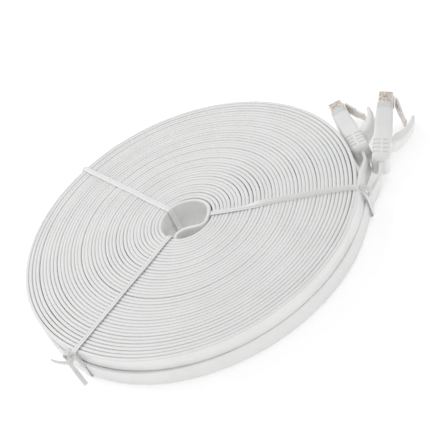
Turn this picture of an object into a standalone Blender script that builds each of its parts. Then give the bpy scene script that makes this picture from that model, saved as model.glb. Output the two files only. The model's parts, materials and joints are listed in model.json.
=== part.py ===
"""A flat shielded ethernet patch cable, wound on edge into a flat coil of two layers.

The ribbon starts in plug a, winds inwards through the upper layer, crosses the hole down to
the lower layer, winds outwards through that and ends in plug b. Three twist ties hold the
coil. Each plug is a modular plug with eight contacts, a metal shield, a sprung latch lever
and a moulded boot whose curved horn guards the latch.

A plug's own frame has its origin in the middle of the nose, +X out of the nose, +Y towards
the latch and Z across the plug's width. The coil's own frame has its origin on the coil's
axis, at the surface that it lies on. The whole object stands on the world origin, which is
the middle of the underside of its bounding box.
"""

import math

import bmesh
import bpy
from mathutils import Euler, Matrix, Vector

MM = 0.001
# How far a cutter runs past the surface that it opens
PAST = 1.0 * MM

# The ribbon and its coil
RIBBON_WIDTH = 8.0 * MM
RIBBON_THICK = 1.6 * MM
COIL_RADIUS = 80.0 * MM
HOLE_RADIUS = 13.0 * MM
LAYER_GAP = 0.3 * MM
TOUCH_GAP = 0.3 * MM
COIL_SIDES = 72
COIL_EDGE = 0.4 * MM

# Twist ties: a wire in a flat plastic strip
TIE_WIDTH = 2.7 * MM
TIE_CORE = 0.7 * MM
TIE_EDGE = 0.3 * MM
TIE_BEND = 0.9 * MM
COIL_BOTTOM = TIE_CORE + TOUCH_GAP
COIL_TOP = COIL_BOTTOM + 2 * RIBBON_WIDTH + LAYER_GAP
TIE_TOP = COIL_TOP + TOUCH_GAP + TIE_CORE / 2
TIE_BOTTOM = TIE_CORE / 2
RIM_RUN = COIL_RADIUS + TOUCH_GAP + TIE_CORE / 2
HOLE_RUN = HOLE_RADIUS - TOUCH_GAP - TIE_CORE / 2
TAILS_REACH = 3.0 * MM

# Angles about the coil's axis at which the ties pass over the coil
FAR_ANGLE, PLUGS_ANGLE, NEAR_ANGLE = 114.0, -28.0, -147.0

# Modular plug, in its own frame
CONTACTS = 8
CONTACT_PITCH = 1.02 * MM
BLADE_THICK = 0.32 * MM
SLOT_WIDTH = 0.5 * MM
SLOT_REAR = -6.6 * MM
SLOT_TOP = -0.45 * MM
CONDUCTOR_RADIUS = 0.4 * MM
CONDUCTOR_HOLE = 0.46 * MM
CONDUCTOR_END = -1.7 * MM
CHANNEL_END = -1.3 * MM
CHANNEL_HALF_HEIGHT = 0.5 * MM
JACKET_END = -13.6 * MM
CAVITY_FRONT = -9.4 * MM
CAVITY_HALF_HEIGHT = 1.6 * MM
CAVITY_HALF_WIDTH = 4.5 * MM
LOAD_BAR_FRONT = -9.8 * MM
LOAD_BAR_LENGTH = 2.8 * MM
LOAD_BAR_HALF_HEIGHT = 1.3 * MM
LOAD_BAR_HALF_WIDTH = 4.35 * MM
PLUG_LENGTH = 21.5 * MM
BODY_HALF_WIDTH = 5.4 * MM
BODY_LOW = -3.1 * MM
BODY_HIGH = 2.9 * MM
SHEET = 0.3 * MM
SHEET_GAP = 0.1 * MM
SHIELD_FRONT = -0.5 * MM
SHIELD_REAR = -PLUG_LENGTH + MM
CONTACT_WINDOW_REAR = -7.4 * MM
CONTACT_WINDOW_HALF_WIDTH = 4.4 * MM
LATCH_NOTCH_REAR = -4.2 * MM
LATCH_NOTCH_HALF_WIDTH = 3.5 * MM
SIDE_WINDOW_LOW = (-4.6 * MM, -1.0 * MM)
SIDE_WINDOW_HIGH = (-3.2 * MM, 0.6 * MM)

# Latch lever
LATCH_ROOT = Vector((-1.5, 4.6, 0.0)) * MM
LATCH_SLOPE = math.radians(20.0)
LATCH_LENGTH = 14.0 * MM
LATCH_THICK = 1.0 * MM
LATCH_WIDTH = 6.1 * MM
LATCH_TIP_WIDTH = 4.4 * MM
CATCH_STEPS = -8.6 * MM
LATCH_BLOCK_REAR = -3.0 * MM
LATCH_BLOCK_FRONT = -0.3 * MM
LATCH_BLOCK_HEIGHT = 1.0 * MM

# Boot and its latch guard
SLEEVE_FRONT = -7.2 * MM
RIBS_FRONT = -29.3 * MM
RIB_PITCH = 2.35 * MM
RIB_WIDTH = 0.9 * MM
RIB_DEPTH = 0.6 * MM
RIBS = 4
RIB_WEB = 0.55 * MM
BOOT_REAR = -40.5 * MM
BOOT_HALF_WIDTH = 6.5 * MM
BOOT_LOW = -4.2 * MM
BOOT_HIGH = 4.1 * MM
BOOT_ROUND = 1.1 * MM
BOOT_WALL_GAP = 0.15 * MM
# Stations of the rear end's taper, as (distance from the rear, how far each side draws in)
BOOT_TAPER = [(2.2 * MM, 0.0), (0.8 * MM, 0.6 * MM), (0.0, 1.6 * MM)]
RELIEF_REAR = -11.0 * MM
GUARD_HALF_WIDTH = 3.5 * MM
GUARD_PIVOT = Vector((-25.6, 5.0, 0.0)) * MM

# Where the plugs lie in the coil's frame: nose (mm), then heading, nose-up pitch and roll (degrees)
PLUG_A = ((88.9, 30.9, 6.85), 84.2, 0.0, -3.0)
PLUG_B = ((108.5, 12.8, 13.0), 58.5, 7.8, 16.0)

# Routes of the free ribbon, from the coil to the boot, at the middle of the ribbon (mm)
ROUTE_A = [(74.9, -31.0, 13.2), (77.6, -26.4, 11.8), (80.3, -21.4, 9.8), (82.9, -16.4, 7.9)]
ROUTE_B = [(71.6, -38.5, 5.0), (75.9, -33.8, 5.0), (80.0, -30.3, 5.4), (83.8, -26.7, 6.2)]
# Route across the hole, from the upper layer to the lower one, at the middle of the ribbon (mm)
CROSSING = [
    (3.7, 11.3, 13.3),
    (7.6, 9.0, 13.3),
    (10.5, 5.4, 13.3),
    (11.7, 0.9, 13.3),
    (10.8, -2.9, 13.3),
    (9.4, -5.3, 13.3),
    (7.6, -7.6, 13.2),
    (5.2, -8.5, 13.1),
    (2.6, -7.7, 13.0),
    (-0.2, -6.2, 12.8),
    (-3.2, -5.0, 12.5),
    (-6.4, -4.9, 12.0),
    (-8.0, -6.5, 10.9),
    (-7.4, -8.2, 9.2),
    (-5.3, -9.9, 7.4),
    (-2.4, -11.1, 5.8),
    (0.8, -11.6, 5.0),
]
# Straight ribbon inside the plug and boot, from the boot's rear to the jacket's end (plug frame, mm)
INSIDE_BOOT = [-42.0, -38.0, -31.0, -22.0, JACKET_END / MM]
# Steps in each span between two points of a route
ROUTE_STEPS = 3


def remove_startup_objects():
    for obj in list(bpy.data.objects):
        bpy.data.objects.remove(obj)


# ---- Meshes ----


def mesh_from(bm, name):
    bmesh.ops.recalc_face_normals(bm, faces=bm.faces)
    mesh = bpy.data.meshes.new(name)
    bm.to_mesh(mesh)
    bm.free()
    return mesh


def add_prism(bm, outline, depth_low, depth_high, to_point):
    """Adds a closed prism: the outline's pairs at two depths, placed by to_point(a, b, depth)."""
    ends = [
        [bm.verts.new(to_point(a, b, depth)) for a, b in outline]
        for depth in (depth_low, depth_high)
    ]
    bm.faces.new(ends[0][::-1])
    bm.faces.new(ends[1])
    count = len(outline)
    for i in range(count):
        j = (i + 1) % count
        bm.faces.new((ends[0][i], ends[0][j], ends[1][j], ends[1][i]))


def along_z(a, b, depth):
    return Vector((a, b, depth))


def along_x(a, b, depth):
    return Vector((depth, a, b))


def add_box(bm, low, high):
    corners = [(low[0], low[1]), (high[0], low[1]), (high[0], high[1]), (low[0], high[1])]
    add_prism(bm, corners, low[2], high[2], along_z)


def box(name, low, high):
    bm = bmesh.new()
    add_box(bm, low, high)
    return mesh_from(bm, name)


def prism(name, outline, depth_low, depth_high, to_point=along_z):
    bm = bmesh.new()
    add_prism(bm, outline, depth_low, depth_high, to_point)
    return mesh_from(bm, name)


def rounded_rectangle(low, high, radius, steps=3):
    """Points round a rectangle whose corners are arcs."""
    centres = [
        (high[0] - radius, high[1] - radius, 0.0),
        (low[0] + radius, high[1] - radius, math.pi / 2),
        (low[0] + radius, low[1] + radius, math.pi),
        (high[0] - radius, low[1] + radius, 1.5 * math.pi),
    ]
    points = []
    for x, y, start in centres:
        for step in range(steps + 1):
            angle = start + step / steps * math.pi / 2
            points.append((x + radius * math.cos(angle), y + radius * math.sin(angle)))
    return points


def combined(mesh, other, operation):
    """The mesh with the other one cut from it or joined to it."""
    body = bpy.data.objects.new("body", mesh)
    tool = bpy.data.objects.new("tool", other)
    for obj in (body, tool):
        bpy.context.scene.collection.objects.link(obj)
    modifier = body.modifiers.new("combine", "BOOLEAN")
    modifier.operation = operation
    modifier.object = tool
    bpy.context.view_layer.update()
    graph = bpy.context.evaluated_depsgraph_get()
    result = bpy.data.meshes.new_from_object(body.evaluated_get(graph))
    name = mesh.name
    for used in (mesh, other):
        bpy.data.meshes.remove(used)
    result.name = name
    return result


def cut(mesh, cutter):
    return combined(mesh, cutter, "DIFFERENCE")


def joined(mesh, other):
    return combined(mesh, other, "UNION")


def loft(name, outlines, is_loop=False):
    """A closed skin over outlines that all have the same number of points."""
    bm = bmesh.new()
    rings = [[bm.verts.new(point) for point in outline] for outline in outlines]
    pairs = list(zip(rings, rings[1:]))
    if is_loop:
        pairs.append((rings[-1], rings[0]))
    else:
        bm.faces.new(rings[0][::-1])
        bm.faces.new(rings[-1])
    count = len(rings[0])
    for ring, following in pairs:
        for i in range(count):
            j = (i + 1) % count
            bm.faces.new((ring[i], ring[j], following[j], following[i]))
    return mesh_from(bm, name)


def sweep(name, frames, section, is_loop=False):
    """A section's (side, up) pairs carried along frames of (point, side, up)."""
    outlines = [
        [point + side * a + up * b for a, b in section]
        for point, side, up in frames
    ]
    return loft(name, outlines, is_loop)


def smooth_curve(points, steps):
    """A Catmull-Rom curve through the points, with the given number of steps in each span."""
    first = points[0] * 2 - points[1]
    last = points[-1] * 2 - points[-2]
    padded = [first] + points + [last]
    curve = []
    for before, start, end, after in zip(padded, padded[1:], padded[2:], padded[3:]):
        for step in range(steps):
            t = step / steps
            bend = 2 * start + (end - before) * t
            bend += (2 * before - 5 * start + 4 * end - after) * t**2
            bend += (3 * start - before - 3 * end + after) * t**3
            curve.append(bend / 2)
    curve.append(points[-1].copy())
    return curve


def ribbon_frames(points, ups):
    """Frames for a ribbon on edge: its thickness lies along side and its width along up."""
    frames = []
    for i, point in enumerate(points):
        ahead = points[min(i + 1, len(points) - 1)]
        behind = points[max(i - 1, 0)]
        heading = (ahead - behind).normalized()
        side = heading.cross(ups[i]).normalized()
        frames.append((point, side, side.cross(heading).normalized()))
    return frames


# ---- The cable ----


RIBBON_SECTION = rounded_rectangle(
    (-RIBBON_THICK / 2, -RIBBON_WIDTH / 2),
    (RIBBON_THICK / 2, RIBBON_WIDTH / 2),
    radius=0.3 * RIBBON_THICK,
    steps=1,
)


def coil_ring(name, low, high):
    """The outer shape of one wound layer: a flat ring with slightly rounded edges."""
    profile = [
        (HOLE_RADIUS, low + COIL_EDGE),
        (HOLE_RADIUS, high - COIL_EDGE),
        (HOLE_RADIUS + COIL_EDGE, high),
        (COIL_RADIUS - COIL_EDGE, high),
        (COIL_RADIUS, high - COIL_EDGE),
        (COIL_RADIUS, low + COIL_EDGE),
        (COIL_RADIUS - COIL_EDGE, low),
        (HOLE_RADIUS + COIL_EDGE, low),
    ]
    frames = []
    for i in range(COIL_SIDES):
        angle = 2 * math.pi * i / COIL_SIDES
        outward = Vector((math.cos(angle), math.sin(angle), 0))
        frames.append((Vector((0, 0, 0)), outward, Vector((0, 0, 1))))
    return sweep(name, frames, profile, is_loop=True)


def crossover():
    points = smooth_curve([Vector(p) * MM for p in CROSSING], ROUTE_STEPS)
    ups = [Vector((0, 0, 1))] * len(points)
    return sweep("crossover", ribbon_frames(points, ups), RIBBON_SECTION)


def tail(name, route, plug):
    """The free ribbon beside the coil, and on through the boot to where its jacket ends."""
    to_coil = plug_matrix(plug)
    outside = [Vector(p) * MM for p in route]
    inside = [to_coil @ Vector((x * MM, 0, 0)) for x in INSIDE_BOOT]
    points = smooth_curve(outside + inside, ROUTE_STEPS)
    plug_up = to_coil.to_3x3() @ Vector((0, 0, -1))
    boot_index = ROUTE_STEPS * len(outside)
    ups = []
    for i in range(len(points)):
        twist = min(i / boot_index, 1)
        ups.append(Vector((0, 0, 1)).lerp(plug_up, twist).normalized())
    return sweep(name, ribbon_frames(points, ups), RIBBON_SECTION)


# ---- Twist ties ----


TIE_SECTION = [
    (-TIE_WIDTH / 2, -TIE_EDGE / 2),
    (-TIE_CORE / 2, -TIE_CORE / 2),
    (TIE_CORE / 2, -TIE_CORE / 2),
    (TIE_WIDTH / 2, -TIE_EDGE / 2),
    (TIE_WIDTH / 2, TIE_EDGE / 2),
    (TIE_CORE / 2, TIE_CORE / 2),
    (-TIE_CORE / 2, TIE_CORE / 2),
    (-TIE_WIDTH / 2, TIE_EDGE / 2),
]


def rounded_loop(corners, radius, steps=4):
    """A closed outline through the corners, each turned into an arc of about the radius."""
    outline = []
    count = len(corners)
    for i in range(count):
        corner = Vector(corners[i])
        back = (Vector(corners[i - 1]) - corner).normalized() * radius
        ahead = (Vector(corners[(i + 1) % count]) - corner).normalized() * radius
        for step in range(steps + 1):
            t = step / steps
            outline.append(corner + back * (1 - t) ** 2 + ahead * t**2)
    return outline


def tie_frames(angle, corners):
    """Frames of a strap round the coil in the upright plane at an angle about the coil's axis."""
    outward = Vector((math.cos(angle), math.sin(angle), 0))
    across = Vector((-math.sin(angle), math.cos(angle), 0))
    outline = rounded_loop(corners, TIE_BEND)
    count = len(outline)
    frames = []
    for i in range(count):
        step = outline[(i + 1) % count] - outline[i - 1]
        heading = (outward * step.x + Vector((0, 0, step.y))).normalized()
        point = outward * outline[i].x + Vector((0, 0, outline[i].y))
        frames.append((point, across, heading.cross(across)))
    return frames


def tie_strap(name, angle, outer_reach):
    """outer_reach holds the (radius, height) corners of the strap's run down the coil's rim."""
    corners = [(HOLE_RUN, TIE_BOTTOM), (HOLE_RUN, TIE_TOP)] + outer_reach
    return sweep(name, tie_frames(angle, corners), TIE_SECTION, is_loop=True)


def free_end(route):
    """A loose end of a tie: a short strip through the route's points (mm)."""
    points = smooth_curve([Vector(p) * MM for p in route], ROUTE_STEPS)
    ups = [Vector((0, 0, 1))] * len(points)
    section = [(b, a) for a, b in TIE_SECTION][::-1]
    return sweep("end", ribbon_frames(points, ups), section)


def on_rim(angle_degrees, radius, height, sideways=0.0):
    """A point beside the coil's rim, in mm, for a tie's loose end."""
    angle = math.radians(angle_degrees)
    return (
        radius * math.cos(angle) - sideways * math.sin(angle),
        radius * math.sin(angle) + sideways * math.cos(angle),
        height,
    )


RIM_REACH = [(RIM_RUN, TIE_TOP), (RIM_RUN, TIE_BOTTOM)]


def tie_far():
    strap = tie_strap("tie_far", math.radians(FAR_ANGLE), RIM_REACH)
    end = [on_rim(FAR_ANGLE, 81.2, 8.0, sideways) for sideways in (1.0, -3.5, -8.0, -13.0)]
    return joined(strap, free_end(end))


def tie_plugs():
    """This strap also holds both tails, so it stands out from the rim."""
    reach = [
        (COIL_RADIUS + 0.6 * MM, TIE_TOP),
        (COIL_RADIUS + TAILS_REACH, COIL_TOP - 5.0 * MM),
        (COIL_RADIUS + TAILS_REACH, TIE_BOTTOM),
    ]
    return tie_strap("tie_plugs", math.radians(PLUGS_ANGLE), reach)


def tie_near():
    """This strap's two ends stand out from the rim like a V, one above the other."""
    strap = tie_strap("tie_near", math.radians(NEAR_ANGLE), RIM_REACH)
    upper = [(80.6, 0.5), (82.6, -2.5), (85.0, -6.0), (87.0, -10.5)]
    lower = [(80.6, -0.5), (83.5, 2.2), (87.0, 4.4), (91.0, 5.6)]
    for ends, height in ((upper, 11.0), (lower, 7.5)):
        route = [on_rim(NEAR_ANGLE, radius, height, sideways) for radius, sideways in ends]
        strap = joined(strap, free_end(route))
    return strap


# ---- Plug pieces, in the plug's frame ----


def contact_places():
    return [(i - (CONTACTS - 1) / 2) * CONTACT_PITCH for i in range(CONTACTS)]


def plug_housing():
    """The moulded body, with a block on its nose that carries the latch."""
    low = (-PLUG_LENGTH, BODY_LOW, -BODY_HALF_WIDTH)
    body = box("plug_housing", low, (0, BODY_HIGH, BODY_HALF_WIDTH))
    half = LATCH_WIDTH / 2
    block_top = BODY_HIGH + LATCH_BLOCK_HEIGHT
    low = (LATCH_BLOCK_REAR, BODY_HIGH - PAST, -half)
    body = joined(body, box("block", low, (LATCH_BLOCK_FRONT, block_top, half)))
    low = (-PLUG_LENGTH - PAST, -CAVITY_HALF_HEIGHT, -CAVITY_HALF_WIDTH)
    body = cut(body, box("cavity", low, (CAVITY_FRONT, CAVITY_HALF_HEIGHT, CAVITY_HALF_WIDTH)))
    half_row = CONTACTS / 2 * CONTACT_PITCH
    low = (CAVITY_FRONT - PAST, -CHANNEL_HALF_HEIGHT, -half_row)
    body = cut(body, box("channel", low, (CHANNEL_END, CHANNEL_HALF_HEIGHT, half_row)))
    slots = bmesh.new()
    for z in contact_places():
        low = (SLOT_REAR, BODY_LOW - PAST, z - SLOT_WIDTH / 2)
        add_box(slots, low, (PAST, SLOT_TOP, z + SLOT_WIDTH / 2))
    return cut(body, mesh_from(slots, "slots"))


def contact():
    """A blade with a rounded front corner and two teeth that pierce the conductor's sleeve."""
    outline = [
        (-1.5, -0.62),
        (-1.2, -1.0),
        (-1.2, -2.2),
        (-1.4, -2.55),
        (-1.8, -2.75),
        (-5.9, -2.75),
        (-6.2, -2.5),
        (-6.2, -1.2),
        (-5.2, -1.2),
        (-4.7, -0.62),
        (-4.2, -1.2),
        (-3.4, -1.2),
        (-2.9, -0.62),
        (-2.4, -1.2),
    ]
    scaled = [(x * MM, y * MM) for x, y in outline]
    return prism("contact", scaled, -BLADE_THICK / 2, BLADE_THICK / 2)


def circle(radius, centre=(0.0, 0.0), sides=8):
    turn = 2 * math.pi / sides
    points = []
    for i in range(sides):
        angle = (i + 0.5) * turn
        points.append((centre[0] + radius * math.cos(angle), centre[1] + radius * math.sin(angle)))
    return points


def conductor():
    rear = JACKET_END + TOUCH_GAP
    return prism("conductor", circle(CONDUCTOR_RADIUS), rear, CONDUCTOR_END, along_x)


def load_bar():
    rear = LOAD_BAR_FRONT - LOAD_BAR_LENGTH
    low = (rear, -LOAD_BAR_HALF_HEIGHT, -LOAD_BAR_HALF_WIDTH)
    bar = box("load_bar", low, (LOAD_BAR_FRONT, LOAD_BAR_HALF_HEIGHT, LOAD_BAR_HALF_WIDTH))
    holes = bmesh.new()
    for z in contact_places():
        hole = circle(CONDUCTOR_HOLE, (0.0, z))
        add_prism(holes, hole, rear - PAST, LOAD_BAR_FRONT + PAST, along_x)
    return cut(bar, mesh_from(holes, "holes"))


def shield_shell():
    """A folded sheet round the plug body, open over the contacts and round the latch's root."""
    inner_low = (BODY_LOW - SHEET_GAP, -BODY_HALF_WIDTH - SHEET_GAP)
    inner_high = (BODY_HIGH + SHEET_GAP, BODY_HALF_WIDTH + SHEET_GAP)
    outer_low = (inner_low[0] - SHEET, inner_low[1] - SHEET)
    outer_high = (inner_high[0] + SHEET, inner_high[1] + SHEET)
    outside = rounded_rectangle(outer_low, outer_high, 2 * SHEET, steps=2)
    inside = rounded_rectangle(inner_low, inner_high, SHEET, steps=2)
    shell = prism("shield_shell", outside, SHIELD_REAR, SHIELD_FRONT, along_x)
    shell = cut(shell, prism("inner", inside, SHIELD_REAR - PAST, PAST, along_x))
    half = CONTACT_WINDOW_HALF_WIDTH
    low = (CONTACT_WINDOW_REAR, outer_low[0] - PAST, -half)
    shell = cut(shell, box("window", low, (PAST, inner_low[0] + PAST, half)))
    half = LATCH_NOTCH_HALF_WIDTH
    low = (LATCH_NOTCH_REAR, inner_high[0] - PAST, -half)
    shell = cut(shell, box("notch", low, (PAST, outer_high[0] + PAST, half)))
    side_windows = bmesh.new()
    for side in (-1, 1):
        middle = side * (BODY_HALF_WIDTH + SHEET)
        high = (*SIDE_WINDOW_HIGH, middle + PAST)
        add_box(side_windows, (*SIDE_WINDOW_LOW, middle - PAST), high)
    return cut(shell, mesh_from(side_windows, "side_windows"))


def latch_lever():
    """A strip that rises towards the rear, wide as far as its catch steps and narrow behind them."""
    slope = Vector((-math.cos(LATCH_SLOPE), math.sin(LATCH_SLOPE)))
    normal = Vector((slope.y, -slope.x))
    root = LATCH_ROOT.xy

    def on_strip(along, out):
        point = root + slope * along + normal * out
        return (point.x, point.y)

    half = LATCH_THICK / 2
    side = [
        on_strip(0.2 * MM, -half),
        on_strip(LATCH_LENGTH - 0.8 * MM, -half),
        on_strip(LATCH_LENGTH, -half + 0.5 * MM),
        on_strip(LATCH_LENGTH - 0.3 * MM, half + 0.3 * MM),
        on_strip(LATCH_LENGTH - 1.6 * MM, half),
        on_strip(0.6 * MM, half),
        on_strip(-0.4 * MM, 0.1 * MM),
    ]
    strip = prism("latch_lever", side, -LATCH_WIDTH / 2, LATCH_WIDTH / 2)
    steps = bmesh.new()
    for sign in (-1, 1):
        edge = sign * LATCH_TIP_WIDTH / 2
        beyond = sign * LATCH_WIDTH
        low = (-2 * LATCH_LENGTH, 0, min(edge, beyond))
        add_box(steps, low, (CATCH_STEPS, 2 * LATCH_LENGTH, max(edge, beyond)))
    return cut(strip, mesh_from(steps, "steps"))


def boot():
    """The moulded sleeve, hollow for the plug and the ribbon and notched under the latch."""
    low = (BOOT_LOW, -BOOT_HALF_WIDTH)
    high = (BOOT_HIGH, BOOT_HALF_WIDTH)
    body = tapered_boot(low, high)
    round_plug = SHEET_GAP + SHEET + BOOT_WALL_GAP
    socket_half = BODY_HALF_WIDTH + round_plug
    socket_rear = -PLUG_LENGTH - TOUCH_GAP
    corner = (socket_rear, BODY_LOW - round_plug, -socket_half)
    body = cut(body, box("socket", corner, (PAST, BODY_HIGH + round_plug, socket_half)))
    relief_half = LATCH_WIDTH / 2 + TOUCH_GAP
    corner = (RELIEF_REAR, BODY_HIGH, -relief_half)
    body = cut(body, box("relief", corner, (PAST, BOOT_HIGH + PAST, relief_half)))
    half_thick = RIBBON_THICK / 2 + TOUCH_GAP
    half_width = RIBBON_WIDTH / 2 + TOUCH_GAP
    corner = (BOOT_REAR - PAST, -half_thick, -half_width)
    body = cut(body, box("ribbon_hole", corner, (socket_rear + PAST, half_thick, half_width)))
    return cut(body, rib_grooves(low, high))


def tapered_boot(low, high):
    """The boot's outside: a rounded box whose rear end draws in to the ribbon."""
    stations = [(SLEEVE_FRONT, 0.0)]
    stations += [(BOOT_REAR + from_rear, inset) for from_rear, inset in BOOT_TAPER]
    outlines = []
    for x, inset in stations:
        shrunk_low = (low[0] + inset, low[1] + inset)
        shrunk_high = (high[0] - inset, high[1] - inset)
        outline = rounded_rectangle(shrunk_low, shrunk_high, BOOT_ROUND)
        outlines.append([along_x(a, b, x) for a, b in outline])
    return loft("boot", outlines)


def rib_grooves(low, high):
    """Grooves round each corner of the boot, with a web left along the middle of each side."""
    grooves = bmesh.new()
    for rib in range(RIBS):
        front = RIBS_FRONT - rib * RIB_PITCH
        for edge_y, sign_y in ((low[0], -1), (high[0], 1)):
            for edge_z, sign_z in ((low[1], -1), (high[1], 1)):
                deep_y = edge_y - sign_y * RIB_DEPTH
                deep_z = edge_z - sign_z * RIB_DEPTH
                web_y = sign_y * RIB_WEB
                web_z = sign_z * RIB_WEB * 2
                outside_y = edge_y + sign_y * PAST
                outside_z = edge_z + sign_z * PAST
                corner = [
                    (outside_y, web_z),
                    (outside_y, outside_z),
                    (web_y, outside_z),
                    (web_y, deep_z),
                    (deep_y, deep_z),
                    (deep_y, web_z),
                ]
                add_prism(grooves, corner, front - RIB_WIDTH, front, along_x)
    return mesh_from(grooves, "grooves")


def latch_guard():
    """A horn that springs from the boot's latch side and curls forward over the latch's free end."""
    outer = [(-29.4, 4.4), (-28.6, 6.4), (-26.4, 8.6), (-23.2, 11.0)]
    outer += [(-19.6, 12.5), (-15.4, 13.5), (-11.6, 13.6)]
    inner = [(-11.2, 12.0), (-14.4, 11.5), (-17.4, 10.3), (-20.0, 8.3)]
    inner += [(-22.0, 6.3), (-24.0, 4.7), (-25.4, 4.4)]
    outline = [(x * MM, y * MM) for x, y in outer + inner]
    return prism("latch_guard", outline, -GUARD_HALF_WIDTH, GUARD_HALF_WIDTH)


# ---- Materials ----


def material(name, colour, roughness, metallic=0.0, alpha=1.0):
    made = bpy.data.materials.new(name)
    made.use_nodes = True
    shader = made.node_tree.nodes["Principled BSDF"]
    shader.inputs["Base Color"].default_value = (*colour, 1.0)
    shader.inputs["Roughness"].default_value = roughness
    shader.inputs["Metallic"].default_value = metallic
    shader.inputs["Alpha"].default_value = alpha
    return made


def make_materials():
    return {
        "jacket": material("jacket", (0.80, 0.80, 0.79), 0.5),
        "tie": material("tie", (0.82, 0.82, 0.80), 0.4),
        "boot": material("boot", (0.79, 0.79, 0.78), 0.45),
        "clear": material("clear", (0.80, 0.79, 0.76), 0.2, alpha=0.6),
        "shield": material("shield", (0.62, 0.56, 0.49), 0.35, metallic=1.0),
        "gold": material("gold", (0.83, 0.62, 0.30), 0.25, metallic=1.0),
        "insulation": material("insulation", (0.75, 0.74, 0.70), 0.45),
    }


# ---- Assembly ----


def empty(name, parent=None):
    made = bpy.data.objects.new(name, None)
    made.parent = parent
    bpy.context.scene.collection.objects.link(made)
    return made


def place(name, mesh, surface, parent, location=(0, 0, 0)):
    """Links an object that shows the mesh, with its place relative to its parent."""
    if not mesh.materials:
        mesh.materials.append(surface)
    obj = bpy.data.objects.new(name, mesh)
    obj.parent = parent
    obj.location = location
    bpy.context.scene.collection.objects.link(obj)
    return obj


def smooth_round(mesh):
    """The mesh shaded smooth, except where its faces meet at more than a slight angle."""
    mesh.shade_smooth()
    mesh.set_sharp_from_angle(angle=math.radians(35))
    return mesh


def pivoted(mesh, pivot):
    """The mesh with its origin moved to the pivot, for a piece that turns about it."""
    mesh.transform(Matrix.Translation(-pivot))
    return mesh


def plug_matrix(plug):
    """Takes the plug's frame to the coil's frame. Without roll, the latch side faces sideways."""
    nose, heading, pitch, roll = plug
    turn = Euler([math.radians(angle) for angle in (180 + roll, -pitch, heading)])
    return Matrix.Translation(Vector(nose) * MM) @ turn.to_matrix().to_4x4()


def make_plug(side, plug, meshes, surfaces, coil):
    frame = empty(f"plug_{side}", coil)
    frame.matrix_basis = plug_matrix(plug)
    place(f"plug_housing_{side}", meshes["housing"], surfaces["clear"], frame)
    place(f"shield_shell_{side}", meshes["shield"], surfaces["shield"], frame)
    place(f"load_bar_{side}", meshes["load_bar"], surfaces["clear"], frame)
    place(f"boot_{side}", meshes["boot"], surfaces["boot"], frame)
    place(f"latch_lever_{side}", meshes["latch"], surfaces["clear"], frame, LATCH_ROOT)
    place(f"latch_guard_{side}", meshes["guard"], surfaces["boot"], frame, GUARD_PIVOT)
    for number, z in enumerate(contact_places(), start=1):
        place(f"contact_{number}_{side}", meshes["contact"], surfaces["gold"], frame, (0, 0, z))
        place(f"conductor_{number}_{side}", meshes["conductor"], surfaces["insulation"], frame, (0, 0, z))


def make_plugs(surfaces, coil):
    meshes = {
        "housing": plug_housing(),
        "shield": shield_shell(),
        "load_bar": load_bar(),
        "boot": smooth_round(boot()),
        "latch": pivoted(latch_lever(), LATCH_ROOT),
        "guard": smooth_round(pivoted(latch_guard(), GUARD_PIVOT)),
        "contact": contact(),
        "conductor": smooth_round(conductor()),
    }
    make_plug("a", PLUG_A, meshes, surfaces, coil)
    make_plug("b", PLUG_B, meshes, surfaces, coil)


def make_coil(surfaces, coil):
    lower_top = COIL_BOTTOM + RIBBON_WIDTH
    cable = [
        coil_ring("coil_lower", COIL_BOTTOM, lower_top),
        coil_ring("coil_upper", lower_top + LAYER_GAP, COIL_TOP),
        crossover(),
        tail("cable_tail_a", ROUTE_A, PLUG_A),
        tail("cable_tail_b", ROUTE_B, PLUG_B),
    ]
    for mesh in cable:
        place(mesh.name, smooth_round(mesh), surfaces["jacket"], coil)
    for mesh in (tie_far(), tie_plugs(), tie_near()):
        place(mesh.name, smooth_round(mesh), surfaces["tie"], coil)


def stand_on_origin(coil):
    """Moves the object so that the middle of its bounding box's underside is the origin."""
    bpy.context.view_layer.update()
    corners = [
        obj.matrix_world @ vertex.co
        for obj in bpy.data.objects
        if obj.type == "MESH"
        for vertex in obj.data.vertices
    ]
    low = Vector([min(corner[i] for corner in corners) for i in range(3)])
    high = Vector([max(corner[i] for corner in corners) for i in range(3)])
    middle = (low + high) / 2
    coil.location = (-middle.x, -middle.y, -low.z)


def main():
    remove_startup_objects()
    surfaces = make_materials()
    coil = empty("coil_axis")
    make_coil(surfaces, coil)
    make_plugs(surfaces, coil)
    stand_on_origin(coil)
    bpy.context.view_layer.update()


main()
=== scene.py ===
"""Looks of a flat ethernet patch cable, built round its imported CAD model.

The cable is one ribbon on edge. It leaves plug a, winds inwards through the upper layer of the
coil, crosses the hole down to the lower layer, winds outwards and ends in plug b. Three twist
ties hold the coil. The moulded boots and their latch guards are remade with soft edges, and the
other plug pieces keep their CAD shapes and get materials.

A plug's own frame has its origin in the middle of the nose, +X out of the nose, +Y towards the
latch and Z across the plug's width.
"""

import json
import math

import bmesh
import bpy
from mathutils import Matrix, Vector, noise


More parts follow.
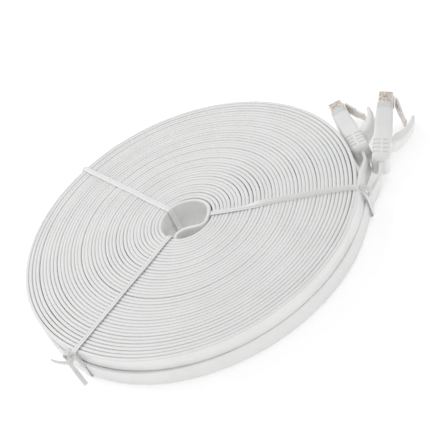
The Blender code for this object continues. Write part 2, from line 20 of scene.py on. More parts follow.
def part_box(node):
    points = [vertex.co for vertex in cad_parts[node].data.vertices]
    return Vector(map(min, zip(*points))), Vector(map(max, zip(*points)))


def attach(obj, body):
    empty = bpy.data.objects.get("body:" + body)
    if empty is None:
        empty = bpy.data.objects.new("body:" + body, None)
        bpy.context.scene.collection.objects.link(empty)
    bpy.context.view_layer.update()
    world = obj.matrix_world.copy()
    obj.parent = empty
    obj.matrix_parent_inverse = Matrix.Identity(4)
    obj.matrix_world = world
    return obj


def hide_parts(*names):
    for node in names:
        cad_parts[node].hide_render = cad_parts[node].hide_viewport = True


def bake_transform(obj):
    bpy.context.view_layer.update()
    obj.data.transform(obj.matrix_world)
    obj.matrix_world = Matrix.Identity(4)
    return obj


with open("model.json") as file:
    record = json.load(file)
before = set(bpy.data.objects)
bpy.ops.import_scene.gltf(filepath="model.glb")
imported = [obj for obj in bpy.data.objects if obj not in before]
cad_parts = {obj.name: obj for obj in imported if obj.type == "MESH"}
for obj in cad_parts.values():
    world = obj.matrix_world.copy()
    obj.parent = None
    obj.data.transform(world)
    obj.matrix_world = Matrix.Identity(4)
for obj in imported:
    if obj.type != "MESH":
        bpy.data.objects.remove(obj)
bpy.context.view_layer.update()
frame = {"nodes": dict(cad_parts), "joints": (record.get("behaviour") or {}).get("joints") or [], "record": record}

MM = 0.001
UP = Vector((0, 0, 1))

# ---- The coil, from the frame ----

UPPER_LOW, UPPER_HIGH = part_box("coil_upper")
LOWER_LOW, LOWER_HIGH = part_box("coil_lower")
AXIS = Vector(((UPPER_LOW.x + UPPER_HIGH.x) / 2, (UPPER_LOW.y + UPPER_HIGH.y) / 2, 0))
COIL_RADIUS = (UPPER_HIGH.x - UPPER_LOW.x) / 2
HOLE_RADIUS = 13.0 * MM
COIL_TOP = UPPER_HIGH.z
UPPER_MIDDLE = (UPPER_LOW.z + UPPER_HIGH.z) / 2
LOWER_MIDDLE = (LOWER_LOW.z + LOWER_HIGH.z) / 2
RIBBON_WIDTH = UPPER_HIGH.z - UPPER_LOW.z
RIBBON_THICK = 1.6 * MM
RIBBON_EDGE = 0.36 * MM

# Whole turns in each layer, and the angles (degrees) at which the winding starts and ends
UPPER_TURNS, UPPER_INNER, UPPER_OUTER = 38, 96.0, 328.0
LOWER_TURNS, LOWER_INNER, LOWER_OUTER = 37, -52.0, -38.0
UPPER_OUTER_RADIUS = COIL_RADIUS + 0.3 * MM
LOWER_OUTER_RADIUS = COIL_RADIUS + 0.1 * MM
# The ribbon's innermost turn, which the crossing runs on from
INNER_RADIUS = HOLE_RADIUS - 0.5 * MM
# The outermost turns lie more loosely than the rest
LOOSE_TURNS = 3
CHORD_ERROR = 0.03 * MM
TIGHT_GAP = 0.03 * MM
TURN_STEPS = 120
HEIGHT_WANDER = 0.12 * MM
LEAN_WANDER = math.radians(0.5)
# The outer turns of the upper layer lean outwards at their top edge
LEANING_TURNS = 5
OUTER_LEAN = math.radians(8.0)
# Stretch of the winding, in radians, in which wander and lean fade at each end
FADE = 0.35
# Waves of wander in each turn
SLACK_WAVES, HEIGHT_WAVES, LEAN_WAVES = 2.7, 1.7, 1.3
# Shares of the spare room: what every turn gets, and what the loose outermost turns get on top
EVEN_SLACK, LOOSE_SLACK = 0.45, 0.3
UPPER_SEED, LOWER_SEED = 1.7, 5.9
# Added to a layer's seed, so that its height and lean do not wander with its slack
HEIGHT_SEED, LEAN_SEED = 7.3, 3.1

# Routes of the free ribbon about the coil's axis, in metres, at the middle of the ribbon
ROUTE_A = [
    (0.0749, -0.0310, 0.0132),
    (0.0776, -0.0264, 0.0118),
    (0.0803, -0.0214, 0.0098),
    (0.0829, -0.0164, 0.0079),
]
ROUTE_B = [
    (0.0716, -0.0385, 0.0050),
    (0.0759, -0.0338, 0.0050),
    (0.0800, -0.0303, 0.0054),
    (0.0838, -0.0267, 0.0062),
]
CROSSING = [
    (0.0037, 0.0113, 0.0133),
    (0.0076, 0.0090, 0.0133),
    (0.0105, 0.0054, 0.0133),
    (0.0117, 0.0009, 0.0133),
    (0.0108, -0.0029, 0.0133),
    (0.0094, -0.0053, 0.0133),
    (0.0076, -0.0076, 0.0132),
    (0.0052, -0.0085, 0.0131),
    (0.0026, -0.0077, 0.0130),
    (-0.0002, -0.0062, 0.0128),
    (-0.0032, -0.0050, 0.0125),
    (-0.0064, -0.0049, 0.0120),
    (-0.0080, -0.0065, 0.0109),
    (-0.0074, -0.0082, 0.0092),
    (-0.0053, -0.0099, 0.0074),
    (-0.0024, -0.0111, 0.0058),
    (0.0008, -0.0116, 0.0050),
]
INSIDE_BOOT = [-42.0 * MM, -38.0 * MM, -31.0 * MM, -22.0 * MM, -13.6 * MM]

# ---- Twist ties ----

TIE_WIDTH = 2.7 * MM
TIE_CORE = 0.7 * MM
TIE_EDGE = 0.26 * MM
TIE_BEND = 0.9 * MM
# The plugs strap's gap to the CAD model's hole wall, and every strap's gap to the coil's top
TOUCH_GAP, TOP_GAP = 0.3 * MM, 0.12 * MM
TIE_TOP = COIL_TOP + TOP_GAP + TIE_CORE / 2
TIE_BOTTOM = TIE_CORE / 2
# Radius of each strap's run down the hole, and of its run down the rim
FAR_HOLE_RUN = INNER_RADIUS - RIBBON_THICK / 2 - TIE_CORE
NEAR_HOLE_RUN = FAR_HOLE_RUN + 0.3 * RIBBON_THICK
PLUGS_HOLE_RUN = HOLE_RADIUS - TOUCH_GAP - TIE_CORE / 2
RIM_RUN = COIL_RADIUS + 3 * TOUCH_GAP + TIE_CORE / 2
# The plugs strap leaves the top here, and slopes this far out and down to pass over both tails
TAILS_START = COIL_RADIUS + 0.6 * MM
TAILS_REACH, TAILS_DROP = 3.0 * MM, 5.0 * MM
FAR_ANGLE, PLUGS_ANGLE, NEAR_ANGLE = (math.radians(a) for a in (114.0, -28.0, -147.0))

# ---- The plugs, in their own frame ----

NOSE_POINT = 1.2 * MM
SLEEVE_FRONT = -7.2 * MM
BOOT_REAR = -40.5 * MM
BOOT_HALF_WIDTH = 6.5 * MM
BOOT_LOW, BOOT_HIGH = -4.2 * MM, 4.1 * MM
BOOT_ROUND = 1.5 * MM
BOOT_SWELL_END = -28.0 * MM
FRONT_INSET = 0.25 * MM
COLLAR_REAR = -10.8 * MM
COLLAR_INSET = 0.2 * MM
FRONT_ARCH = 0.9 * MM
# The arch comes in between these shares of the half width
ARCH_FADE = (0.75, 0.9)
# Rings ahead of this follow the arch
ARCH_REAR = COLLAR_REAR - 0.5 * MM
# Extra points on the arched faces lie this far from the middle
ARCH_CUT = 1.6 * MM
LATCH_NOTCH_DEPTH = 3.8 * MM
LATCH_NOTCH_EDGE = (3.2 * MM, 3.5 * MM)
POCKET_ROUND = 0.5 * MM
# The rear end's taper, as (distance from the rear, how far each side draws in)
BOOT_TAPER = [(2.2, 0.0), (1.5, 0.2), (0.8, 0.6), (0.3, 1.1), (0.0, 1.7)]
WEB_ON_Z = (0.55 * MM, 0.75 * MM)
WEB_ON_Y = (1.1 * MM, 1.3 * MM)
POCKET_FLOOR = -21.8 * MM
POCKET_HALF_WIDTH = 5.95 * MM
POCKET_LOW, POCKET_HIGH = -3.65 * MM, 3.45 * MM
RIBS_FRONT = -29.3 * MM
RIB_PITCH = 2.35 * MM
RIB_WIDTH = 0.9 * MM
RIB_DEPTH = 0.6 * MM
RIBS = 4
BOOT_LIP = 0.12 * MM
SLEEVE_STATIONS = [-12.0 * MM, -20.0 * MM]
GROOVED_FRONT, GROOVED_REAR, GROOVED_RINGS = -28.4 * MM, -38.0 * MM, 64
# Rings near the notched front stay at least this far apart
LEAST_STEP = 0.05 * MM
POCKET_SETBACK = 0.1 * MM


def plug_matrix(side):
    """The plug's frame, from its mating face and the axis of its latch."""
    face = next(m for m in frame["record"]["mounts"] if m["name"] == f"mating_face_{side}")
    press = next(j for j in frame["joints"] if j["name"] == f"latch_{side}_press")
    out = Vector(face["axis"]).normalized()
    across = Vector(press["axis"]).normalized()
    towards_latch = across.cross(out).normalized()
    nose = Vector(face["pos_m"]) - towards_latch * NOSE_POINT
    turn = Matrix((out, towards_latch, across)).transposed().to_4x4()
    return Matrix.Translation(nose) @ turn


# ---- Mesh helpers ----


def new_object(name, data):
    obj = bpy.data.objects.new(name, data)
    bpy.context.scene.collection.objects.link(obj)
    return obj


def mesh_from(bm, name):
    bmesh.ops.recalc_face_normals(bm, faces=bm.faces)
    mesh = bpy.data.meshes.new(name)
    bm.to_mesh(mesh)
    bm.free()
    mesh.shade_smooth()
    return mesh


def add_loft(bm, outlines, is_loop=False):
    """Adds a closed skin over outlines that all have the same number of points."""
    rings = [[bm.verts.new(point) for point in outline] for outline in outlines]
    pairs = list(zip(rings, rings[1:]))
    if is_loop:
        pairs.append((rings[-1], rings[0]))
    else:
        bm.faces.new(rings[0][::-1])
        bm.faces.new(rings[-1])
    count = len(rings[0])
    for ring, following in pairs:
        for i in range(count):
            j = (i + 1) % count
            bm.faces.new((ring[i], ring[j], following[j], following[i]))


def loft(name, outlines, is_loop=False):
    bm = bmesh.new()
    add_loft(bm, outlines, is_loop)
    return mesh_from(bm, name)


def smooth_curve(points, steps):
    """A Catmull-Rom curve through all but the first and last points, which only steer it."""
    curve = []
    for before, start, end, after in zip(points, points[1:], points[2:], points[3:]):
        for step in range(steps):
            t = step / steps
            bend = 2 * start + (end - before) * t
            bend += (2 * before - 5 * start + 4 * end - after) * t**2
            bend += (3 * start - before - 3 * end + after) * t**3
            curve.append(bend / 2)
    curve.append(points[-2].copy())
    return curve


def open_curve(points, steps):
    """A Catmull-Rom curve through all the points."""
    first = points[0] * 2 - points[1]
    last = points[-1] * 2 - points[-2]
    return smooth_curve([first] + points + [last], steps)


def smoothstep(low, high, value):
    t = min(max((value - low) / (high - low), 0.0), 1.0)
    return t * t * (3 - 2 * t)


def outward(angle):
    return Vector((math.cos(angle), math.sin(angle), 0))


def along_rim(angle):
    return Vector((-math.sin(angle), math.cos(angle), 0))


def from_axis(point):
    """A point given about the coil's axis, in the shared frame."""
    return AXIS + Vector(point)


# ---- Materials ----


# Shares of the clouds' noise over which tone and gloss change
TONE_RANGE, GLOSS_RANGE = (0.35, 0.65), (0.3, 0.7)
GRAIN_STRENGTH = 0.35
# A grey's share of blue, which makes it a little warm
GREY_BLUE = 0.993
# The Mix node's sockets for colours, whose names are shared with its other sockets
MIX_FACTOR, MIX_FIRST, MIX_SECOND, MIX_RESULT = 0, 6, 7, 2


def shader_of(material):
    return material.node_tree.nodes["Principled BSDF"]


def noise_node(tree, scale, detail=3.0, stretch=(1, 1, 1)):
    """Noise in object space, whose units are metres."""
    coordinates = tree.nodes.new("ShaderNodeTexCoord")
    mapping = tree.nodes.new("ShaderNodeMapping")
    mapping.inputs["Scale"].default_value = stretch
    texture = tree.nodes.new("ShaderNodeTexNoise")
    texture.inputs["Scale"].default_value = scale
    texture.inputs["Detail"].default_value = detail
    tree.links.new(coordinates.outputs["Object"], mapping.inputs["Vector"])
    tree.links.new(mapping.outputs["Vector"], texture.inputs["Vector"])
    return texture.outputs["Fac"]


def mapped(tree, source, low, high, low_value, high_value):
    """The source's range low..high turned into low_value..high_value."""
    node = tree.nodes.new("ShaderNodeMapRange")
    node.inputs["From Min"].default_value = low
    node.inputs["From Max"].default_value = high
    node.inputs["To Min"].default_value = low_value
    node.inputs["To Max"].default_value = high_value
    tree.links.new(source, node.inputs["Value"])
    return node.outputs["Result"]


def mixed_colour(tree, factor, first, second):
    mix = tree.nodes.new("ShaderNodeMix")
    mix.data_type = "RGBA"
    mix.inputs[MIX_FIRST].default_value = (*first, 1)
    mix.inputs[MIX_SECOND].default_value = (*second, 1)
    tree.links.new(factor, mix.inputs[MIX_FACTOR])
    return mix.outputs[MIX_RESULT]


def add_bump(tree, shader, height, distance, strength):
    bump = tree.nodes.new("ShaderNodeBump")
    bump.inputs["Distance"].default_value = distance
    bump.inputs["Strength"].default_value = strength
    tree.links.new(height, bump.inputs["Height"])
    tree.links.new(bump.outputs["Normal"], shader.inputs["Normal"])


def surface(name, light, dark, roughness, mottle=60.0, grain=2500.0, depth=0.03 * MM, metallic=0.0):
    """A surface with cloudy tone, uneven gloss and a fine grain."""
    material = bpy.data.materials.new(name)
    material.use_nodes = True
    tree = material.node_tree
    shader = shader_of(material)
    shader.inputs["Metallic"].default_value = metallic
    clouds = noise_node(tree, mottle)
    share = mapped(tree, clouds, *TONE_RANGE, 0.0, 1.0)
    tree.links.new(mixed_colour(tree, share, dark, light), shader.inputs["Base Color"])
    gloss = mapped(tree, clouds, *GLOSS_RANGE, *roughness)
    tree.links.new(gloss, shader.inputs["Roughness"])
    add_bump(tree, shader, noise_node(tree, grain, detail=2.0), depth, GRAIN_STRENGTH)
    return material


def clear_plastic(name, light, dark):
    material = surface(name, light, dark, (0.2, 0.34), mottle=400.0)
    shader = shader_of(material)
    shader.inputs["Transmission Weight"].default_value = 0.06
    shader.inputs["IOR"].default_value = 1.45
    return material


def soft_plastic(name, light, dark, roughness):
    """Soft white moulding that light enters a little."""
    material = surface(name, light, dark, roughness)
    shader = shader_of(material)
    shader.inputs["Subsurface Weight"].default_value = 0.35
    shader.inputs["Subsurface Radius"].default_value = (1.0, 0.95, 0.9)
    shader.inputs["Subsurface Scale"].default_value = 0.9 * MM
    return material


def grey(level):
    return (level, level, level * GREY_BLUE)


def make_materials():
    return {
        "jacket": soft_plastic("jacket", grey(0.87), grey(0.84), (0.34, 0.5)),
        "tie": soft_plastic("tie", grey(0.89), grey(0.86), (0.28, 0.42)),
        # The ties' loose ends get a darker copy of the tie's plastic, which paints the shade they stand in
        "tie_painted_shade": soft_plastic("tie_painted_shade", grey(0.76), grey(0.70), (0.3, 0.45)),
        "boot": soft_plastic("boot", grey(0.90), grey(0.875), (0.36, 0.52)),
        "clear": clear_plastic("clear", (0.96, 0.94, 0.91), (0.90, 0.87, 0.83)),
        "shield": surface(
            "shield", (0.98, 0.92, 0.85), (0.64, 0.57, 0.51), (0.22, 0.42), 900.0, metallic=1.0
        ),
        "gold": surface(
            "gold", (0.93, 0.72, 0.38), (0.70, 0.50, 0.24), (0.15, 0.3), 900.0, metallic=1.0
        ),
        "insulation": surface("insulation", (0.78, 0.76, 0.70), (0.70, 0.67, 0.60), (0.35, 0.5)),
        "floor": surface("floor", (0.96, 0.96, 0.96), (0.95, 0.95, 0.95), (0.7, 0.8), 3.0),
    }


def dress(obj, material):
    obj.data.materials.clear()
    obj.data.materials.append(material)
    return obj


# ---- Camera, floor and light ----

# The camera's angles are in radians
CAMERA_LENS = 90.53
CAMERA_DISTANCE = 6.3692 * COIL_RADIUS
CAMERA_ELEVATION = 0.6725
CAMERA_ROLL = 0.4929
CAMERA_PAN, CAMERA_TILT = -0.0276, -0.0206
FLOOR_RADIUS, FLOOR_GLOW = 3.0, 0.3
SKY_STRENGTH = 0.71
KEY_PLACE, KEY_SIZE, KEY_POWER = (-0.35, 0.55, 0.75), 0.5, 2.5


def make_camera():
    """The camera looks across the coil from its -Y side, about 39 degrees up, rolled by 28."""
    camera = bpy.data.cameras.new("camera")
    camera.sensor_width = 36.0
    camera.lens = CAMERA_LENS
    camera.clip_end = 10.0
    obj = new_object("camera", camera)
    back = Vector((0, -math.cos(CAMERA_ELEVATION), math.sin(CAMERA_ELEVATION)))
    right = Vector((1, 0, 0))
    up = right.cross(-back)
    aim = Matrix.Rotation(CAMERA_TILT, 3, right) @ Matrix.Rotation(CAMERA_PAN, 3, up)
    forward, right = aim @ -back, aim @ right
    spin = Matrix.Rotation(CAMERA_ROLL, 3, forward)
    up = spin @ right.cross(forward)
    right = spin @ right
    axes = Matrix((right, up, -forward)).transposed()
    place = AXIS + UP * COIL_TOP + back * CAMERA_DISTANCE
    obj.matrix_world = Matrix.Translation(place) @ axes.to_4x4()
    bpy.context.scene.camera = obj


def make_floor(materials):
    bm = bmesh.new()
    bmesh.ops.create_circle(bm, cap_ends=True, radius=FLOOR_RADIUS, segments=64)
    floor = new_object("floor", mesh_from(bm, "floor"))
    floor.data.materials.append(materials["floor"])
    shader = shader_of(materials["floor"])
    shader.inputs["Emission Color"].default_value = (1, 1, 1, 1)
    shader.inputs["Emission Strength"].default_value = FLOOR_GLOW


def area_light(name, place, size, power):
    """A round light aimed at the origin."""
    light = bpy.data.lights.new(name, "AREA")
    light.shape = "DISK"
    light.size = size
    light.energy = power
    obj = new_object(name, light)
    obj.location = place
    obj.rotation_euler = (-Vector(place)).to_track_quat("-Z", "Y").to_euler()


def make_light():
    world = bpy.data.worlds.new("studio")
    world.use_nodes = True
    world.node_tree.nodes["Background"].inputs["Color"].default_value = (1, 1, 1, 1)
    world.node_tree.nodes["Background"].inputs["Strength"].default_value = SKY_STRENGTH
    bpy.context.scene.world = world
    bpy.context.scene.view_settings.view_transform = "Standard"
    area_light("key", KEY_PLACE, KEY_SIZE, KEY_POWER)


# ---- The cable ----


def ribbon_section():
    """(thickness, width) pairs round the ribbon: flat sides and rounded edges."""
    half_thick, half_width = RIBBON_THICK / 2, RIBBON_WIDTH / 2
    top = [
        (half_thick, half_width - 1.6 * RIBBON_EDGE),
        (half_thick, half_width - RIBBON_EDGE),
        (0.86 * half_thick, half_width - 0.3 * RIBBON_EDGE),
        (0.45 * half_thick, half_width),
    ]
    bottom = [(-half_thick, -half_width + RIBBON_EDGE), (-0.6 * half_thick, -half_width)]
    return top + [(-a, b) for a, b in top[::-1]] + bottom + [(-a, b) for a, b in bottom[::-1]]


def wander(turns, seed, waves):
    """Smooth noise of about -1 to 1, with the given number of waves in each turn."""
    return 2 * noise.noise(Vector((turns * waves, seed, 0.5)))


def winding_radii(turns, outer, seed):
    """The ribbon's middle radius, TURN_STEPS to a turn, from the inside out.

    Each turn lies on the one inside it, a tight gap away or a little more where it is slack.
    """
    slack = []
    for i in range(math.ceil(turns * TURN_STEPS) + 2):
        opening = EVEN_SLACK + max(0.0, wander(i / TURN_STEPS, seed, SLACK_WAVES)) ** 1.5
        opening += LOOSE_SLACK * smoothstep(turns - LOOSE_TURNS, turns, i / TURN_STEPS)
        if i < TURN_STEPS:
            slack.append(opening * i / TURN_STEPS)
        else:
            slack.append(slack[i - TURN_STEPS] + opening)
    pitch = RIBBON_THICK + TIGHT_GAP
    share = (outer - INNER_RADIUS - pitch * turns) / slack[round(turns * TURN_STEPS)]
    return [INNER_RADIUS + pitch * i / TURN_STEPS + share * loose for i, loose in enumerate(slack)]


def winding(turns, first_angle, outer, middle, leaning_turns, seed):
    """(point, up) pairs of one layer from the inside out, anticlockwise."""
    radii = winding_radii(turns, outer, seed)
    end = 2 * math.pi * turns
    pairs = []
    angle = 0.0
    while True:
        done = angle / (2 * math.pi)
        place = min(done * TURN_STEPS, len(radii) - 2)
        index = int(place)
        radius = radii[index] + (radii[index + 1] - radii[index]) * (place - index)
        free = smoothstep(0, FADE, angle) * smoothstep(0, FADE, end - angle)
        height = middle + free * HEIGHT_WANDER * wander(done, seed + HEIGHT_SEED, HEIGHT_WAVES)
        lean = LEAN_WANDER * wander(done, seed + LEAN_SEED, LEAN_WAVES)
        if leaning_turns:
            lean += OUTER_LEAN * max(0.0, 1 - (turns - done) / leaning_turns)
        out = outward(math.radians(first_angle) + angle)
        up = UP * math.cos(lean * free) + out * math.sin(lean * free)
        pairs.append((AXIS + out * radius + UP * height, up))
        if angle >= end:
            return pairs
        angle = min(angle + 2 * math.sqrt(2 * CHORD_ERROR / radius), end)


# Points on each span of the free ribbon's curve
FREE_STEPS = 14


def tail(route, side, coil_end):
    """(point, up) pairs from the coil's last points through the route into the plug."""
    to_world = plug_matrix(side)
    inside = [to_world @ Vector((x, 0, 0)) for x in INSIDE_BOOT]
    points = [coil_end[0], coil_end[1]] + [from_axis(p) for p in route] + inside
    points.append(inside[-1] * 2 - inside[-2])
    curve = smooth_curve(points, FREE_STEPS)[1:]
    plug_up = to_world.to_3x3() @ Vector((0, 0, -1))
    twist_end = FREE_STEPS * (len(route) + 1)
    pairs = []
    for i, point in enumerate(curve):
        twist = smoothstep(0, twist_end, i)
        pairs.append((point, UP.lerp(plug_up, twist).normalized()))
    return pairs


def crossing(upper, lower):
    """(point, up) pairs across the hole, from the upper layer's inner end to the lower one's."""
    points = [upper[2][0], upper[0][0]] + [from_axis(p) for p in CROSSING]
    points += [lower[0][0], lower[2][0]]
    curve = smooth_curve(points, FREE_STEPS)[1:-1]
    return [(point, UP) for point in curve]


def ribbon_path():
    """(point, up) pairs of the whole ribbon, from plug a to plug b."""
    upper_turns = UPPER_TURNS + (UPPER_OUTER - UPPER_INNER) / 360
    lower_turns = LOWER_TURNS + (LOWER_OUTER - LOWER_INNER) / 360
    upper = winding(
        upper_turns, UPPER_INNER, UPPER_OUTER_RADIUS, UPPER_MIDDLE, LEANING_TURNS, UPPER_SEED
    )
    lower = winding(lower_turns, LOWER_INNER, LOWER_OUTER_RADIUS, LOWER_MIDDLE, 0, LOWER_SEED)
    # A point a few steps back steers each tail's curve out of the coil
    tail_a = tail(ROUTE_A, "a", (upper[-4][0], upper[-1][0]))
    tail_b = tail(ROUTE_B, "b", (lower[-4][0], lower[-1][0]))
    return tail_a[::-1] + upper[::-1] + crossing(upper, lower) + lower + tail_b


def swept(pairs, section):
    """Outlines of a section's (side, up) pairs carried along (point, up) pairs."""
    outlines = []
    for i, (point, up) in enumerate(pairs):
        ahead = pairs[min(i + 1, len(pairs) - 1)][0]
        behind = pairs[max(i - 1, 0)][0]
        heading = (ahead - behind).normalized()
        side = heading.cross(up).normalized()
        top = side.cross(heading).normalized()
        outlines.append([point + side * a + top * b for a, b in section])
    return outlines


def make_cable(materials):
    pairs = ribbon_path()
    cable = new_object("patch_cable", loft("patch_cable", swept(pairs, ribbon_section())))
    dress(cable, materials["jacket"])
    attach(cable, "cable")
    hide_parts("coil_upper", "coil_lower", "crossover", "cable_tail_a", "cable_tail_b")


# ---- Twist ties ----

WIRE_SIDES = 5
TIE_STEP = 1.5 * MM
TIE_SHARP_ANGLE = math.radians(38)
# Points on each span of a loose end
STRIP_STEPS = 8
# The loop at the near tie's knot: points, first angle and step in degrees, then sizes in mm
LOOP_POINTS, LOOP_START, LOOP_STEP = 13, 20, 30
LOOP_HALF_WIDTH, LOOP_HALF_HEIGHT = 2.3, 1.6
LOOP_RADIUS, LOOP_SIDEWAYS, LOOP_HEIGHT = 82.0, -3.4, 15.4
# How much further out each point of the loop lies than the one before
LOOP_RISE = 0.12
# Length over which a strap's roll comes and goes at the hole and the rim
ROLL_FADE = 5.0 * MM
# The far and near straps' tilt, and the plugs strap's once it stands on edge
STRAP_TILT = math.radians(9)
STRAP_UPRIGHT = math.radians(75)
# The plugs strap turns onto its edge between these radii
UPRIGHT_FROM, UPRIGHT_TO = 0.3 * COIL_RADIUS, 0.6 * COIL_RADIUS
# How far a strap strays sideways, and the rate of its straying, per metre
SWAY, SWAY_RATE = 0.35 * MM, 60


def tie_section():
    """(across, over) pairs round the strip: two flat wings with the wire's ridge between them."""
    radius, wing = TIE_CORE / 2, TIE_EDGE / 2
    half = math.pi - 2 * math.asin(wing / radius)
    over = [(TIE_WIDTH / 2, 0.4 * wing), (TIE_WIDTH / 2 - wing, wing)]
    for i in range(WIRE_SIDES + 1):
        turn = math.asin(wing / radius) + half * i / WIRE_SIDES
        over.append((radius * math.cos(turn), radius * math.sin(turn)))
    over += [(-a, b) for a, b in over[1::-1]]
    return over + [(a, -b) for a, b in over[::-1]]


def rounded_loop(corners, radius, steps=6):
    """A closed outline through the corners, each turned into a curve of about the radius."""
    outline = []
    count = len(corners)
    for i in range(count):
        corner = Vector(corners[i])
        back = (Vector(corners[i - 1]) - corner).normalized() * radius
        ahead = (Vector(corners[(i + 1) % count]) - corner).normalized() * radius
        for step in range(steps + 1):
            t = step / steps
            outline.append(corner + back * (1 - t) ** 2 + ahead * t**2)
    return outline


def with_even_steps(outline, longest):
    """The closed outline with points added, so that no step is longer than the longest."""
    dense = []
    for start, end in zip(outline, outline[1:] + outline[:1]):
        pieces = max(1, math.ceil((end - start).length / longest))
        dense += [start.lerp(end, i / pieces) for i in range(pieces)]
    return dense


def add_strap(bm, angle, hole_run, outer_reach, roll_at):
    """A strap round the coil. roll_at(radius) raises its anticlockwise edge on the top run."""
    out, across = outward(angle), along_rim(angle)
    corners = [(hole_run, TIE_BOTTOM), (hole_run, TIE_TOP)] + outer_reach
    outline = with_even_steps(rounded_loop(corners, TIE_BEND), TIE_STEP)
    outlines = []
    for i, here in enumerate(outline):
        step = outline[(i + 1) % len(outline)] - outline[i - 1]
        heading = (out * step.x + UP * step.y).normalized()
        normal = heading.cross(across)
        if normal.z < 0 and here.y > COIL_TOP:
            normal = -normal
        ends = smoothstep(hole_run, hole_run + ROLL_FADE, here.x)
        ends *= 1 - smoothstep(RIM_RUN - ROLL_FADE, RIM_RUN, here.x)
        roll = roll_at(here.x) * ends if here.y > COIL_TOP else 0.0
        side = across * math.cos(roll) + normal * math.sin(roll)
        over = normal * math.cos(roll) - across * math.sin(roll)
        lift = max(0.0, abs(math.sin(roll)) * TIE_WIDTH / 2 - TIE_CORE / 2)
        sway = across * (SWAY * noise.noise(Vector((here.x * SWAY_RATE, angle, 0))))
        point = AXIS + out * here.x + UP * (here.y + lift) + sway
        outlines.append([point + side * a + over * b for a, b in tie_section()])
    add_loft(bm, outlines, is_loop=True)


def by_rim(angle, radius, sideways, height):
    """A point beside the rim, in mm about the coil's axis."""
    out, across = outward(angle), along_rim(angle)
    return AXIS + (out * radius + across * sideways + UP * height) * MM


def add_free_strip(bm, points, width_along):
    """A loose strip, in the tie's greyer copy that paints shade on it, through the points, with its width as
    given.
    """
    curve = open_curve(points, STRIP_STEPS)
    pairs = [(point, width_along) for point in curve]
    section = [(b, a) for a, b in tie_section()]
    strap_faces = set(bm.faces)
    add_loft(bm, swept(pairs, section))
    for face in bm.faces:
        if face not in strap_faces:
            face.material_index = 1


def finish_tie(bm, name, materials):
    """Straps in the tie's finish, and loose ends in a greyer copy of it that paints shade on them."""
    finishes = [face.material_index for face in bm.faces]
    tie = new_object(name, mesh_from(bm, name))
    tie.data.set_sharp_from_angle(angle=TIE_SHARP_ANGLE)
    dress(tie, materials["tie"])
    # Second slot: the darker copy of the tie's plastic, painted shade on the loose ends
    tie.data.materials.append(materials["tie_painted_shade"])
    tie.data.polygons.foreach_set("material_index", finishes)
    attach(tie, "cable")
    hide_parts(name.removeprefix("twist_"))


def make_far_tie(materials):
    """Tilted on the coil, with one loose end along the rim."""
    bm = bmesh.new()
    reach = [(RIM_RUN, TIE_TOP), (RIM_RUN, TIE_BOTTOM)]
    add_strap(bm, FAR_ANGLE, FAR_HOLE_RUN, reach, lambda radius: -STRAP_TILT)
    end = [by_rim(FAR_ANGLE, 81.2, sideways, 8.0) for sideways in (1.0, -3.5, -8.0, -13.0)]
    add_free_strip(bm, end, UP)
    finish_tie(bm, "twist_tie_far", materials)


def make_plugs_tie(materials):
    """Flat beside the hole, then on edge, then over both tails."""
    bm = bmesh.new()
    reach = [
        (TAILS_START, TIE_TOP),
        (COIL_RADIUS + TAILS_REACH, COIL_TOP - TAILS_DROP),
        (COIL_RADIUS + TAILS_REACH, TIE_BOTTOM),
    ]
    add_strap(
        bm,
        PLUGS_ANGLE,
        PLUGS_HOLE_RUN,
        reach,
        lambda radius: STRAP_UPRIGHT * smoothstep(UPRIGHT_FROM, UPRIGHT_TO, radius),
    )
    fold = [(81.5, 0.4, 17.6), (83.5, 0.9, 16.0), (84.8, 1.8, 13.2), (84.6, 2.6, 10.4)]
    add_free_strip(bm, [by_rim(PLUGS_ANGLE, *place) for place in fold], along_rim(PLUGS_ANGLE))
    finish_tie(bm, "twist_tie_plugs", materials)


def make_near_tie(materials):
    """Tilted on the coil and twisted shut at the rim, with a loop, two blades and a hook."""
    bm = bmesh.new()
    reach = [(RIM_RUN, TIE_TOP), (RIM_RUN, TIE_BOTTOM)]
    add_strap(bm, NEAR_ANGLE, NEAR_HOLE_RUN, reach, lambda radius: STRAP_TILT)
    out, across = outward(NEAR_ANGLE), along_rim(NEAR_ANGLE)
    stem = [(81.2, 0.2, 16.9), (82.4, -1.7, 14.8), (83.8, -3.4, 12.4)]
    left = stem + [(84.6, -7.0, 11.2), (85.3, -10.8, 10.8), (85.6, -14.6, 10.6)]
    add_free_strip(bm, [by_rim(NEAR_ANGLE, *place) for place in left], UP)
    down = [(81.2, -0.9, 16.9), (83.2, -2.3, 14.8), (84.2, -2.9, 11.6)]
    down += [(84.5, -2.0, 8.8), (85.4, 0.8, 5.9), (86.3, 3.6, 3.0)]
    add_free_strip(bm, [by_rim(NEAR_ANGLE, *place) for place in down], across - 0.35 * out)
    hook = [(81.3, 0.8, 16.5), (82.0, 2.0, 14.6), (82.2, 3.1, 12.8), (81.9, 4.4, 11.0)]
    add_free_strip(bm, [by_rim(NEAR_ANGLE, *place) for place in hook], 0.7 * across + out)
    loop = []
    for i in range(LOOP_POINTS):
        turn = math.radians(LOOP_START + LOOP_STEP * i)
        sideways = LOOP_HALF_WIDTH * math.cos(turn) + LOOP_SIDEWAYS
        height = LOOP_HALF_HEIGHT * math.sin(turn) + LOOP_HEIGHT
        loop.append(by_rim(NEAR_ANGLE, LOOP_RADIUS + LOOP_RISE * i, sideways, height))
    add_free_strip(bm, loop, out)
    finish_tie(bm, "twist_tie_near", materials)


# ---- Boots and latch guards, in the plug's frame ----

CORNER_STEPS = 5
BOOT_SHARP_ANGLE = math.radians(50)


